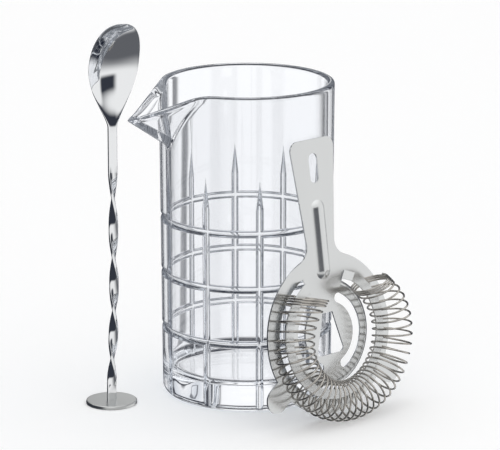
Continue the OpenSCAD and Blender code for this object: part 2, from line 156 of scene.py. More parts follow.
class StageSettings(bpy.types.PropertyGroup):
    floor: colour("Floor", "Colour of the floor", (0.92, 0.92, 0.92))
    floor_size: length("Floor size", "Half width of the floor", 4)
    camera_place: bpy.props.FloatVectorProperty(
        name="Camera", description="Place of the camera", default=(-0.7139, -1.4318, 0.5045),
        unit="LENGTH",
    )
    camera_target: bpy.props.FloatVectorProperty(
        name="Target", description="What the camera looks at", default=(0.00153, -0.00076, 0.08944),
        unit="LENGTH",
    )
    lens: bpy.props.FloatProperty(name="Lens", description="Focal length in mm", default=226.6)


SETTINGS = {
    "pitcher_settings": PitcherSettings,
    "spoon_settings": SpoonSettings,
    "strainer_settings": StrainerSettings,
    "stage_settings": StageSettings,
}


# Curves and blends that the shapes follow
def clamp(value, low=0.0, high=1.0):
    return max(low, min(high, value))


def smooth_step(t):
    t = clamp(t)
    return t * t * (3 - 2 * t)


def soft_max(a, b, blend):
    """The larger of two numbers, with a rounded change from one to the other."""
    h = clamp(0.5 + 0.5 * (a - b) / blend)
    return b + (a - b) * h + blend * h * (1 - h)


def soft_min(a, b, blend):
    return -soft_max(-a, -b, blend)


def signed_power(value, power):
    return math.copysign(abs(value) ** power, value)


def spread(low, high, count):
    """Evenly spaced numbers from low to high, both ends in."""
    return [low + (high - low) * i / (count - 1) for i in range(count)]


# Modelling helpers
def deselect_all():
    if bpy.context.object and bpy.context.object.mode != "OBJECT":
        bpy.ops.object.mode_set(mode="OBJECT")
    bpy.ops.object.select_all(action="DESELECT")


def choose(piece):
    deselect_all()
    piece.select_set(True)
    bpy.context.view_layer.objects.active = piece


def rolled_sheet(name, columns, rows, place):
    """A grid of columns by rows that place(column, row) rolls into a closed skin."""
    deselect_all()
    bpy.ops.mesh.primitive_grid_add(x_subdivisions=columns, y_subdivisions=rows - 1, size=2)
    piece = bpy.context.object
    piece.name = piece.data.name = name
    for vertex in piece.data.vertices:
        column = round((vertex.co.x + 1) / 2 * columns)
        row = round((vertex.co.y + 1) / 2 * (rows - 1))
        vertex.co = place(column % columns, row)
    close_skin(piece)
    return piece


def close_skin(piece, reach=1e-6):
    """Merges a skin's seam and poles, fills open ends and turns its faces outwards."""
    choose(piece)
    bpy.ops.object.mode_set(mode="EDIT")
    bpy.ops.mesh.select_all(action="SELECT")
    bpy.ops.mesh.remove_doubles(threshold=reach)
    bpy.ops.mesh.select_all(action="DESELECT")
    bpy.ops.mesh.select_non_manifold(extend=False, use_boundary=True)
    bpy.ops.mesh.fill_holes(sides=0)
    bpy.ops.mesh.select_all(action="SELECT")
    bpy.ops.mesh.normals_make_consistent(inside=False)
    bpy.ops.object.mode_set(mode="OBJECT")


def finish_piece(piece, material, body, node, smooth):
    """Gives a piece its shading, material and body, and hides the node it stands for."""
    choose(piece)
    bpy.ops.object.shade_smooth_by_angle(angle=math.radians(smooth))
    piece.data.materials.clear()
    piece.data.materials.append(material)
    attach(piece, body)
    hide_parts(node)


# Shader helpers
class Shader:
    """A material's node tree with short calls for its nodes and links."""

    def __init__(self, tree):
        self.tree = tree
        self.tree.nodes.clear()

    def node(self, kind, **values):
        made = self.tree.nodes.new(kind)
        for key, value in values.items():
            setattr(made, key, value)
        return made

    def link(self, source, target):
        self.tree.links.new(source, target)

    def math(self, operation, a, b=None, use_clamp=False):
        made = self.node("ShaderNodeMath", operation=operation, use_clamp=use_clamp)
        for socket, value in zip(made.inputs, (a, b)):
            if value is None:
                continue
            if isinstance(value, (int, float)):
                socket.default_value = value
            else:
                self.link(value, socket)
        return made.outputs[0]

    def ramp(self, value, low, high, from_value=0.0, to_value=1.0):
        made = self.node("ShaderNodeMapRange", interpolation_type="SMOOTHSTEP")
        self.link(value, made.inputs["Value"])
        for name, number in (
            ("From Min", low), ("From Max", high), ("To Min", from_value), ("To Max", to_value)
        ):
            made.inputs[name].default_value = number
        return made.outputs["Result"]

    def band(self, value, start, full, leave, end):
        """1 between full and leave, falling softly to 0 at start and end."""
        return self.math(
            "MULTIPLY", self.ramp(value, start, full), self.ramp(value, leave, end, 1.0, 0.0)
        )

    def largest(self, first, *others):
        """The largest of several values."""
        for other in others:
            first = self.math("MAXIMUM", first, other)
        return first

    def mix(self, factor, a, b):
        made = self.node("ShaderNodeMix", data_type="RGBA", clamp_factor=True)
        for name, value in (("Factor", factor), ("A", a), ("B", b)):
            self.put(made.inputs[name], value)
        return made.outputs["Result"]

    def put(self, socket, value):
        if isinstance(value, bpy.types.NodeSocket):
            self.link(value, socket)
        elif isinstance(value, (int, float)):
            socket.default_value = value
        else:
            socket.default_value = (*value, 1.0)[:4]


def new_material(name):
    material = bpy.data.materials.new(name)
    material.use_nodes = True
    return material, Shader(material.node_tree)


MARK_SHARE = 0.7


def handled_metal_group():
    """Fine streaks and faint marks of handling, as a roughness and a height."""
    if "handled_metal" in bpy.data.node_groups:
        return bpy.data.node_groups["handled_metal"]
    group = bpy.data.node_groups.new("handled_metal", "ShaderNodeTree")
    face = group.interface
    face.new_socket("Vector", in_out="INPUT", socket_type="NodeSocketVector")
    for name, default in (
        ("Streak Scale", 900.0), ("Mark Scale", 60.0), ("Roughness", 0.2), ("Spread", 0.1)
    ):
        face.new_socket(name, in_out="INPUT", socket_type="NodeSocketFloat").default_value = default
    for name in ("Roughness", "Height"):
        face.new_socket(name, in_out="OUTPUT", socket_type="NodeSocketFloat")
    shader = Shader(group)
    given = shader.node("NodeGroupInput")
    out = shader.node("NodeGroupOutput")
    streaks = shader.node("ShaderNodeTexNoise")
    streaks.inputs["Detail"].default_value = 2
    marks = shader.node("ShaderNodeTexNoise")
    marks.inputs["Detail"].default_value = 4
    shader.link(given.outputs["Vector"], streaks.inputs["Vector"])
    shader.link(given.outputs["Vector"], marks.inputs["Vector"])
    shader.link(given.outputs["Streak Scale"], streaks.inputs["Scale"])
    shader.link(given.outputs["Mark Scale"], marks.inputs["Scale"])
    centred = shader.math("MULTIPLY_ADD", marks.outputs["Fac"], MARK_SHARE)
    centred.node.inputs[2].default_value = -MARK_SHARE / 2
    varied = shader.math("MULTIPLY", centred, given.outputs["Spread"])
    total = shader.math("ADD", varied, given.outputs["Roughness"], use_clamp=True)
    shader.link(total, out.inputs["Roughness"])
    shader.link(streaks.outputs["Fac"], out.inputs["Height"])
    return group


STREAK_HEIGHT = 0.02 * MM


def metal_material(name, tint, roughness, marks, stretch, streaks, bump, place_in_set):
    """Steel with fine streaks that run along the axis where stretch is largest."""
    material, shader = new_material(name)
    place = shader.node("ShaderNodeTexCoord")
    mapping = shader.node("ShaderNodeMapping", vector_type="TEXTURE")
    mapping.inputs["Rotation"].default_value = place_in_set.to_euler()
    mapping.inputs["Location"].default_value = place_in_set.translation
    mapping.inputs["Scale"].default_value = stretch
    shader.link(place.outputs["Object"], mapping.inputs["Vector"])
    group = shader.node("ShaderNodeGroup")
    group.node_tree = handled_metal_group()
    shader.link(mapping.outputs["Vector"], group.inputs["Vector"])
    group.inputs["Streak Scale"].default_value = streaks
    group.inputs["Roughness"].default_value = roughness
    group.inputs["Spread"].default_value = marks
    surface = shader.node("ShaderNodeBsdfPrincipled")
    surface.inputs["Metallic"].default_value = 1
    shader.put(surface.inputs["Base Color"], tint)
    shader.link(group.outputs["Roughness"], surface.inputs["Roughness"])
    relief = shader.node("ShaderNodeBump")
    relief.inputs["Strength"].default_value = bump
    relief.inputs["Distance"].default_value = STREAK_HEIGHT
    shader.link(group.outputs["Height"], relief.inputs["Height"])
    shader.link(relief.outputs["Normal"], surface.inputs["Normal"])
    out = shader.node("ShaderNodeOutputMaterial")
    shader.link(surface.outputs["BSDF"], out.inputs["Surface"])
    return material


# Painted shade at the glass's slanted edges: where it starts, where it is full, and how strong it is.
SLANT_START, SLANT_FULL, PAINTED_EDGE_SHADE_SHARE = 0.72, 0.97, 0.62
# Painted glow in the glass: after how many glossy bounces it shows, and the streaks it has.
PAINTED_GLOW_AFTER = 2.5
GLOW_STREAK_SCALE = 420
GLOW_STREAK_STRETCH = (1, 1, 0.08)
GLOW_STREAK_DARK, GLOW_STREAK_BRIGHT = 0.42, 0.62


def painted_glow_colour(shader, look):
    """Painted glow: an emission colour that stands in for light caught in the glass, bright in the base,
    upright streaks above.
    """
    place = shader.node("ShaderNodeTexCoord")
    stretched = shader.node("ShaderNodeMapping")
    stretched.inputs["Scale"].default_value = GLOW_STREAK_STRETCH
    shader.link(place.outputs["Object"], stretched.inputs["Vector"])
    streaks = shader.node("ShaderNodeTexNoise")
    streaks.inputs["Scale"].default_value = GLOW_STREAK_SCALE
    streaks.inputs["Detail"].default_value = 3
    shader.link(stretched.outputs["Vector"], streaks.inputs["Vector"])
    streak = shader.ramp(streaks.outputs["Fac"], GLOW_STREAK_DARK, GLOW_STREAK_BRIGHT)
    walls = shader.mix(streak, look.painted_wall_glow_dark, look.painted_wall_glow)
    height = shader.node("ShaderNodeSeparateXYZ")
    shader.link(place.outputs["Object"], height.inputs["Vector"])
    in_base = shader.ramp(height.outputs["Z"], look.base, look.base + look.corner / 2, 1.0, 0.0)
    return shader.mix(in_base, walls, look.painted_base_glow)


def glass_material(look):
    """Clear glass with painted shade where it is seen at a slant and on the flanks of the cuts, and a
    painted glow inside it.
    """
    material, shader = new_material("clear_cut_glass")
    # Painted shade: the glass colour darkens towards the edge colour where the surface is seen at a slant.
    slant = shader.node("ShaderNodeLayerWeight")
    slant.inputs["Blend"].default_value = 0.5
    edge = shader.ramp(slant.outputs["Facing"], SLANT_START, SLANT_FULL, 0.0, PAINTED_EDGE_SHADE_SHARE)
    # Painted shade on the flanks of the cuts, read from the cut_shade attribute.
    shade = shader.node("ShaderNodeAttribute", attribute_name="cut_shade")
    body = shader.mix(shade.outputs["Fac"], look.tint, look.painted_cut_flank_shade)
    painted_shade_colour = shader.mix(edge, body, look.painted_edge_shade)
    surface = shader.node("ShaderNodeBsdfPrincipled")
    shader.link(painted_shade_colour, surface.inputs["Base Color"])
    surface.inputs["Transmission Weight"].default_value = 1
    surface.inputs["Roughness"].default_value = 0.0
    surface.inputs["IOR"].default_value = 1.5
    # Painted glow: the glass emits its glow colour on rays past a few glossy bounces.
    rays = shader.node("ShaderNodeLightPath")
    painted_glow_on = shader.math("GREATER_THAN", rays.outputs["Glossy Depth"], PAINTED_GLOW_AFTER)
    shader.link(painted_glow_on, surface.inputs["Emission Strength"])
    shader.link(painted_glow_colour(shader, look), surface.inputs["Emission Color"])
    clear = shader.node("ShaderNodeBsdfTransparent")
    shader.put(clear.inputs["Color"], look.shadow_tint)
    either = shader.math("MAXIMUM", rays.outputs["Is Shadow Ray"], rays.outputs["Is Diffuse Ray"])
    both = shader.node("ShaderNodeMixShader")
    shader.link(either, both.inputs["Fac"])
    shader.link(surface.outputs["BSDF"], both.inputs[1])
    shader.link(clear.outputs["BSDF"], both.inputs[2])
    out = shader.node("ShaderNodeOutputMaterial")
    shader.link(both.outputs["Shader"], out.inputs["Surface"])
    return material


# The pitcher's surfaces
class LipPlane:
    """One side of the pouring lip: the plane through its tip, its keel and its root on the rim."""

    least_slope = 0.02
    far_away = 10.0

    def __init__(self, tip, keel, root):
        self.tip, self.keel, self.root = Vector(tip), Vector(keel), Vector(root)
        self.normal = (self.keel - self.tip).cross(self.root - self.tip).normalized()
        if self.normal.x < 0:
            self.normal.negate()
        self.offset = self.normal.dot(self.tip)

    def radius(self, turn, z):
        """Distance from the axis to this plane, in a direction given from the lip's own."""
        slope = self.normal.x * math.cos(turn) + self.normal.y * math.sin(turn)
        if slope < self.least_slope:
            return self.far_away
        return (self.offset - self.normal.z * z) / slope


class PitcherShape:
    """Radii and heights of the pitcher's skin, from its settings."""

    tip_round = 7.5 * MM
    inner_tip_round = 1.6 * MM
    root_round = 3.0 * MM
    inner_root_round = 0.8 * MM
    brim_round = 3.5 * MM
    lip_spare = 4 * MM
    tip_walls = 1.45
    keel_walls = 1.5
    brim_tip_turn = 0.03
    brim_end = 1.2
    lip_end = 1.0
    shoulder_round = 0.25
    cut_power = 2.6
    cut_reach = 1.4
    least_share = 0.02
    least_spread = 0.1
    inside_spread = 0.7
    spread_start = 125 * MM
    spread_length = 30 * MM

    def __init__(self, size):
        self.size = size
        self.edge = size.wall / 2
        self.bore = size.rim_radius - size.wall
        self.brim = size.height - self.edge
        self.taper = (size.rim_radius - size.foot_radius) / (size.height - size.heel)
        self.low = size.height - size.keel_drop - self.lip_spare
        half = size.lip_half
        tip_z = size.height - size.drop - self.edge
        keel_z = size.height - size.keel_drop + self.edge / 2
        self.outer = LipPlane(
            (size.reach + self.tip_round / 4, 0, tip_z),
            (size.rim_radius, 0, keel_z),
            (size.rim_radius * math.cos(half), size.rim_radius * math.sin(half), self.brim),
        )
        inner_half = half - math.asin((size.wall - self.edge / 2) / size.rim_radius)
        self.inner = LipPlane(
            (size.reach - self.tip_walls * size.wall, 0, tip_z + self.edge / 2),
            (self.bore, 0, keel_z + self.keel_walls * size.wall),
            (self.bore * math.cos(inner_half), self.bore * math.sin(inner_half), self.brim),
        )

    def wall(self, z):
        return self.size.foot_radius + (z - self.size.heel) * self.taper

    def top(self, turn):
        """Height of the brim's edge in a direction from the lip."""
        turn = math.sqrt(turn * turn + self.brim_tip_turn**2)
        tip, root = self.outer.tip, self.outer.root
        if turn > self.brim_end:
            return self.brim
        slope = math.tan(turn)
        share = tip.x * slope / (root.y - (root.x - tip.x) * slope)
        return soft_min(tip.z + share * (root.z - tip.z), self.brim, self.brim_round)

    def lifted(self, turn, z):
        """Height of a row that lies at z away from the lip."""
        if z <= self.low:
            return z
        return self.low + (z - self.low) * (self.top(turn) - self.low) / (self.brim - self.low)

    def with_lip(self, plane, turn, z, radius, tip_round, root_round):
        """A wall's radius, pulled out to the lip's planes where the lip is."""
        if abs(turn) > self.lip_end:
            return radius
        lip = soft_min(plane.radius(abs(turn), z), plane.radius(-abs(turn), z), tip_round)
        return soft_max(lip, radius, root_round) if lip > radius - root_round else radius

    def outside(self, turn, z):
        return self.with_lip(self.outer, turn, z, self.wall(z), self.tip_round, self.root_round)

    def inside(self, turn, z):
        return self.with_lip(
            self.inner, turn, z, self.bore, self.inner_tip_round, self.inner_root_round
        )

    def upright_share(self, z):
        """How much of an upright cut's width and depth is left at a height."""
        return clamp(1 - (z - self.size.cut_straight) / self.size.cut_runout)

    def groove(self, distance, half_width, depth):
        """Depth of a cut with a polished round bottom and soft shoulders."""
        x = abs(distance / half_width) ** self.cut_power
        return max(0.0, soft_max(1 - x, 0, self.shoulder_round)) * depth

    def cut(self, across, z):
        """Depth of the cuts at a place: z up the wall and across the nearest upright cut."""
        half = self.size.cut_width / 2
        share = self.upright_share(z)
        deep = 0.0
        if share > self.least_share and abs(across) < self.cut_reach * half:
            deep = self.groove(across, half * share, self.size.cut_depth * share)
        for i in range(self.size.rings):
            away = z - self.size.ring_top + i * self.size.ring_pitch
            if abs(away) < self.cut_reach * half:
                deep = max(deep, self.groove(away, half, self.size.cut_depth))
        return deep

    def column_half_width(self, kind, value):
        """Half width that the columns of a cut spread over on a row."""
        half = self.size.cut_width / 2
        if kind in ("foot", "heel"):
            return half
        if kind != "out":
            return self.inside_spread * half
        back = smooth_step((value - self.spread_start) / self.spread_length)
        spare = self.least_spread + (self.inside_spread - self.least_spread) * back
        return half * max(self.upright_share(value), spare)


# Where the grid has its columns and rows
CUT_HALF_STEPS = (0.2, 0.38, 0.54, 0.68, 0.8, 0.9, 0.98, 1.06, 1.16, 1.3)
CUT_STEPS = (*(-step for step in reversed(CUT_HALF_STEPS)), 0.0, *CUT_HALF_STEPS)
CUT_MARGIN = 0.5
PANEL_COLUMNS = 9
LIP_COLUMNS = 22
PITCHER_ROWS = {
    "foot": 5, "heel": 10, "panel": 11, "straight": 6, "runout": 18, "rim": 34,
    "brim": 13, "lip": 30, "bore": 16, "corner": 10, "floor": 5,
}


def pitcher_columns(size):
    """The grid's columns: the cut that each belongs to, its step across it and its fill share."""
    columns = []
    for i in range(size.cuts):
        columns += [(i, step, None) for step in CUT_STEPS]
        fill = LIP_COLUMNS if i in (0, size.cuts - 1) else PANEL_COLUMNS
        columns += [(i, None, (j + 1) / (fill + 1)) for j in range(fill)]
    return columns


def column_turn(size, column, half_width):
    """Direction of a column, from the lip's own, where the cuts have that half width."""
    i, step, fill = column
    pitch = 2 * math.pi / size.cuts
    reach = half_width / size.rim_radius
    if step is not None:
        return i * pitch + step * reach
    edge = CUT_STEPS[-1] * reach
    return i * pitch + edge + fill * (pitch - 2 * edge)


def pitcher_rows(shape):
    """The grid's rows, from the foot's centre up the outside, over the brim and down inside."""
    size, count = shape.size, PITCHER_ROWS
    half = size.cut_width / 2
    rows = [("foot", r) for r in spread(0, size.foot_radius - size.heel, count["foot"])[:-1]]
    rows += [("heel", a) for a in spread(-math.pi / 2, 0, count["heel"])[:-1]]
    rings = sorted(size.ring_top - i * size.ring_pitch for i in range(size.rings))
    last = size.heel
    for ring in rings:
        low = ring + CUT_STEPS[0] * half
        rows += [("out", z) for z in spread(last, low, count["panel"])[:-1]]
        rows += [("out", ring + step * half) for step in CUT_STEPS]
        last = ring + (CUT_STEPS[-1] + CUT_MARGIN) * half
    runout_end = size.cut_straight + size.cut_runout
    rows += [("out", z) for z in spread(last, size.cut_straight, count["straight"])[:-1]]
    rows += [("out", z) for z in spread(size.cut_straight, runout_end, count["runout"])[:-1]]
    rows += [("out", z) for z in spread(runout_end, shape.brim, count["rim"])]
    rows += [("brim", a) for a in spread(0, math.pi, count["brim"])[1:-1]]
    corner_z = size.base + size.corner
    rows += [("in", z) for z in spread(shape.brim, shape.low, count["lip"])[:-1]]
    rows += [("in", z) for z in spread(shape.low, corner_z, count["bore"])]
    rows += [("corner", a) for a in spread(0, -math.pi / 2, count["corner"])[1:]]
    rows += [("floor", r) for r in spread(shape.bore - size.corner, 0, count["floor"])[1:]]
    return rows


def pitcher_point(shape, column, row):
    """A point of the pitcher's skin, and how deep it lies in a cut, as a share."""
    size = shape.size
    kind, value = row
    half_width = shape.column_half_width(kind, value)
    turn = column_turn(size, column, half_width)
    turn = (turn + math.pi) % (2 * math.pi) - math.pi
    across = column[1] * half_width if column[1] is not None else size.rim_radius
    deep = 0.0
    if kind == "foot":
        radius, z = value, 0.0
    elif kind == "heel":
        z = size.heel * (1 + math.sin(value))
        deep = shape.cut(across, z)
        round_r = size.foot_radius - size.heel * (1 - math.cos(value))
        radius = min(round_r, shape.wall(z) - deep)
    elif kind == "out":
        deep = shape.cut(across, value)
        z = shape.lifted(turn, value)
        radius = shape.outside(turn, z) - deep
    elif kind == "brim":
        top = shape.top(turn)
        outer, inner = shape.outside(turn, top), shape.inside(turn, top)
        radius = (outer + inner) / 2 + (outer - inner) / 2 * math.cos(value)
        z = top + shape.edge * math.sin(value)
    elif kind == "in":
        z = shape.lifted(turn, value)
        radius = shape.inside(turn, z)
    elif kind == "corner":
        radius = shape.bore - size.corner * (1 - math.cos(value))
        z = size.base + size.corner * (1 + math.sin(value))
    else:
        radius, z = value, size.base
    place = Vector((-radius * math.cos(turn), -radius * math.sin(turn), z))
    return place, deep / size.cut_depth


class MODEL_OT_pitcher(bpy.types.Operator):
    """Models the cut-glass pitcher with its pouring lip"""

    bl_idname = "pitcher_set.model_pitcher"
    bl_label = "Model pitcher"
    flank_shade = 3.6
    key_digits = 7

    def execute(self, context):
        size = context.scene.pitcher_settings
        shape = PitcherShape(size)
        columns, rows = pitcher_columns(size), pitcher_rows(shape)
        depths = {}

        def key(point):
            return tuple(round(c, self.key_digits) for c in point)

        def place(i, j):
            point, deep = pitcher_point(shape, columns[i], rows[j])
            depths[key(point)] = deep
            return point

        piece = rolled_sheet("cut_glass_pitcher", len(columns), len(rows), place)
        # cut_shade holds painted shade, strongest halfway down each flank of a cut.
        shade = piece.data.attributes.new("cut_shade", "FLOAT", "POINT")
        for vertex, item in zip(piece.data.vertices, shade.data):
            deep = depths.get(key(vertex.co), 0.0)
            item.value = clamp(self.flank_shade * deep * (1 - deep))
        finish_piece(piece, glass_material(size), "pitcher", "glass_pitcher", 60)
        return {"FINISHED"}


# The spoon's rings
SPOON_ROWS = {"foot": 4, "half_turn": 60, "neck": 6, "shoulder": 60, "tip": 48}


class SpoonShape:
    """Widths, thicknesses and places of the spoon's rings, from its settings."""

    wide_share = 0.41
    bow_share = 0.3
    twist_rise = 0.2
    tip_power = 2.4
    neck_power = 1.5
    dish_power = 1.5
    lean_power = 2
    forward_power = 2.2
    backward_share = 1.1
    bar_power = 5

    def __init__(self, size):
        self.size = size
        self.base = size.height - size.bowl_length
        self.wide = size.bowl_length * self.wide_share

    def rise(self, z):
        """Share of the bowl's length that lies below a height."""
        return max(0.0, (z - self.base) / self.size.bowl_length)

    def half_width(self, z):
        size = self.size
        down = size.height - z
        if z <= self.base:
            return size.bar_width / 2
        if down > self.wide:
            away = (down - self.wide) / (size.bowl_length - self.wide)
            spare = (size.bowl_width - size.bar_width) / 2
            return size.bar_width / 2 + spare * (1 - away**2) ** self.neck_power
        away = 1 - down / self.wide
        return size.bowl_width / 2 * max(0.0, 1 - away**self.tip_power) ** (1 / self.tip_power)

    def thickness(self, z):
        size = self.size
        share = smooth_step(min(1, 2 * self.rise(z)))
        return size.bar_thickness + (size.bowl_thickness - size.bar_thickness) * share

    def dish(self, z):
        """Depth of the hollow, which starts where the bowl is wider than the bar."""
        size = self.size
        share = self.half_width(z) / (size.bowl_width / 2)
        bar_share = size.bar_width / size.bowl_width
        return max(0.0, size.bowl_depth * (share**self.dish_power - bar_share**self.dish_power))

    def front(self, z):
        """How far the bowl comes forward, after its neck has gone back a little."""
        rise = self.rise(z)
        back = self.backward_share * smooth_step(rise) * (1 - rise)
        return self.size.bowl_forward * (rise**self.forward_power - back)

    def point(self, z, around):
        """A point of the spoon's skin: a squarish bar below, an oval bowl above."""
        size = self.size
        half = self.half_width(z)
        power = 2 / (self.bar_power - (self.bar_power - 2) * min(1, 3 * self.rise(z)))
        across = signed_power(math.cos(around), power)
        x = half * across
        y = self.thickness(z) / 2 * signed_power(math.sin(around), power)
        y += self.dish(z) * (1 - across * across)
        share = clamp((z - size.twist_start) / size.twist_length)
        twist = -math.pi * size.half_turns * share * (1 + self.twist_rise * (1 - share))
        lean = size.stem_bow * smooth_step(z / (self.bow_share * size.height))
        lean += size.bowl_lean * self.rise(z) ** self.lean_power
        return Vector((
            x * math.cos(twist) - y * math.sin(twist) + lean,
            x * math.sin(twist) + y * math.cos(twist) - self.front(z),
            z,
        ))

    def levels(self):
        """Heights of the rings, from the disc to the tip."""
        size = self.size
        wide_z = size.height - self.wide
        twist_end = size.twist_start + size.twist_length
        rows = SPOON_ROWS
        levels = spread(size.disc_thickness, size.twist_start, rows["foot"])[:-1]
        levels += spread(size.twist_start, twist_end, rows["half_turn"] * size.half_turns + 1)
        levels += spread(twist_end, self.base, rows["neck"])[1:-1]
        levels += spread(self.base, wide_z, rows["shoulder"])
        tip = spread(0, math.pi / 2, rows["tip"])[1:]
        return levels + [wide_z + self.wide * math.sin(a) for a in tip]


def standing_spoon(size):
    """Where the spoon stands beside the pitcher."""
    place = Vector((math.cos(size.direction), math.sin(size.direction), 0)) * size.distance
    return Matrix.Translation(place) @ Matrix.Rotation(size.turn, 4, "Z")


class MODEL_OT_spoon(bpy.types.Operator):
    """Models the bar spoon with its twisted stem and its bowl"""

    bl_idname = "pitcher_set.model_spoon"
    bl_label = "Model spoon"
    sides = 72

    def execute(self, context):
        size = context.scene.spoon_settings
        shape = SpoonShape(size)
        levels = shape.levels()
        stand = standing_spoon(size)

        def place(i, j):
            return stand @ shape.point(levels[j], 2 * math.pi * i / self.sides)

        piece = rolled_sheet("polished_bar_spoon", self.sides, len(levels), place)
        steel = metal_material(
            "mirror_steel", size.polish, roughness=0.05, marks=0.05, stretch=(1, 1, 1),
            streaks=400.0, bump=0.02, place_in_set=stand,
        )
        finish_piece(piece, steel, "spoon", "bar_spoon", 50)
        return {"FINISHED"}


class MODEL_OT_disc(bpy.types.Operator):
    """Gives the muddler disc its satin finish"""

    bl_idname = "pitcher_set.finish_disc"
    bl_label = "Finish muddler disc"

    def execute(self, context):
        size = context.scene.spoon_settings
        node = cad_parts["muddler_disc"]
        satin = metal_material(
            "satin_disc_steel", size.satin, roughness=0.32, marks=0.1, stretch=(1, 1, 6),
            streaks=1500.0, bump=0.3, place_in_set=standing_spoon(size),
        )
        node.data.materials.clear()
        node.data.materials.append(satin)
        return {"FINISHED"}


# The strainer's place and pieces
def leaning_strainer(size, pitcher):
    """Where the strainer leans: x across, y up the handle, z out of the spring side."""
    lean = size.lean
    coil_z = size.coil_radius + size.wire / 2 + COIL_GAP
    centre_z = size.ring_radius * math.cos(lean) - coil_z * math.sin(lean)
    centre_z += size.coil_radius + size.wire / 2 + FLOOR_GAP
    rest_z = centre_z + size.handle_end * math.cos(lean)
    wall = PitcherShape(pitcher).wall(rest_z)
    away = wall + LEAN_GAP + size.handle_end * math.sin(lean) + size.sheet * math.cos(lean)
    return (
        Matrix.Rotation(size.direction + math.pi / 2, 4, "Z")
        @ Matrix.Translation((size.shift, -away, centre_z))
        @ Matrix.Rotation(math.pi / 2 - lean, 4, "X")
        @ Matrix.Rotation(size.roll, 4, "Z")
    )


class MODEL_OT_plate(bpy.types.Operator):
    """Rounds the stamped edges of the strainer plate"""

    bl_idname = "pitcher_set.model_plate"
    bl_label = "Model strainer plate"
    same_place = 0.002 * MM
    flat_angle = math.radians(0.5)
    sharp_angle = math.radians(40)

    def execute(self, context):
        size = context.scene.strainer_settings
        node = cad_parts["strainer_plate"]
        piece = node.copy()
        piece.data = node.data.copy()
        piece.parent = None
        piece.name = piece.data.name = "satin_strainer_plate"
        for key in list(piece.keys()):
            del piece[key]
        context.scene.collection.objects.link(piece)
        choose(piece)
        bpy.ops.object.mode_set(mode="EDIT")
        bpy.ops.mesh.select_all(action="SELECT")
        bpy.ops.mesh.customdata_custom_splitnormals_clear()
        bpy.ops.mesh.remove_doubles(threshold=self.same_place)
        bpy.ops.mesh.dissolve_limited(angle_limit=self.flat_angle)
        bpy.ops.object.mode_set(mode="OBJECT")
        round_over = piece.modifiers.new("rounded_edges", "BEVEL")
        round_over.width = size.edge
        round_over.segments = 3
        round_over.limit_method = "ANGLE"
        round_over.angle_limit = self.sharp_angle
        bpy.ops.object.modifier_apply(modifier=round_over.name)
        lean = leaning_strainer(size, context.scene.pitcher_settings)
        steel = metal_material(
            "satin_sheet_steel", size.steel, roughness=0.23, marks=0.12, stretch=(1, 14, 1),
            streaks=1400.0, bump=0.35, place_in_set=lean,
        )
        finish_piece(piece, steel, "strainer", "strainer_plate", 32)
        flat = piece.modifiers.new("flat_faces_stay_flat", "WEIGHTED_NORMAL")
        flat.weight = 100
        flat.keep_sharp = True
        bpy.ops.object.modifier_apply(modifier=flat.name)
        return {"FINISHED"}


class SpringShape:
    """The path of the coil spring round the raised strip."""

    ring_low = math.radians(-90)
    open_half = math.radians(130)
    fan_half = math.radians(80)
    close_gap = math.radians(2.8)
    end_inset = 2.8 * MM
    even_share = 0.89

    def __init__(self, size):
        self.size = size
        self.turns = size.open_turns + 2 * size.close_turns
        self.lift = size.coil_radius + size.wire / 2 + COIL_GAP

    def swing(self, turn):
        """Angle from the ring's lowest place to where a turn stands."""
        size = self.size
        before = size.close_turns - turn
        if before > 0:
            return self.open_half + self.close_gap * before
        after = turn - size.close_turns - size.open_turns
        if after > 0:
            return -self.open_half - self.close_gap * after
        share = 1 - 2 * (turn - size.close_turns) / size.open_turns
        return self.open_half * share * (self.even_share + (1 - self.even_share) * share * share)

    def point(self, turn):
        """A point of the wire. The coils turn more to the handle past the fan's ends."""
        size = self.size
        swing = self.swing(turn)
        past = clamp((abs(swing) - self.fan_half) / (self.open_half - self.fan_half))
        face = min(abs(swing), self.open_half) - (self.open_half - self.fan_half) / 2 * past**2
        facing = self.ring_low + math.copysign(face, swing)
        reach = size.ring_radius - self.end_inset * past**2
        coil = 2 * math.pi * turn
        out = size.coil_radius * math.cos(coil)
        around = self.ring_low + swing
        return Vector((
            reach * math.cos(around) + out * math.cos(facing),
            reach * math.sin(around) + out * math.sin(facing),
            self.lift + size.coil_radius * math.sin(coil),
        ))


class MODEL_OT_spring(bpy.types.Operator):
    """Winds the coil spring round the strainer's raised strip"""

    bl_idname = "pitcher_set.wind_spring"
    bl_label = "Wind spring"
    steps = 28

    def execute(self, context):
        size = context.scene.strainer_settings
        shape = SpringShape(size)
        lean = leaning_strainer(size, context.scene.pitcher_settings)
        line = bpy.data.curves.new("wound_spring", "CURVE")
        line.dimensions = "3D"
        line.bevel_depth = size.wire / 2
        line.bevel_resolution = 3
        line.use_fill_caps = True
        count = shape.turns * self.steps + 1
        spline = line.splines.new("POLY")
        spline.points.add(count - 1)
        for i, point in enumerate(spline.points):
            point.co = (*(lean @ shape.point(i / self.steps)), 1)
        piece = bpy.data.objects.new("wound_spring", line)
        context.scene.collection.objects.link(piece)
        choose(piece)
        bpy.ops.object.convert(target="MESH")
        piece = bpy.context.object
        wire = metal_material(
            "drawn_wire_steel", size.wire_steel, roughness=0.16, marks=0.1, stretch=(1, 1, 1),
            streaks=900.0, bump=0.1, place_in_set=lean,
        )
        finish_piece(piece, wire, "spring", "strainer_spring", 60)
        return {"FINISHED"}


# The stage
FLOOR_GLOW = 0.12


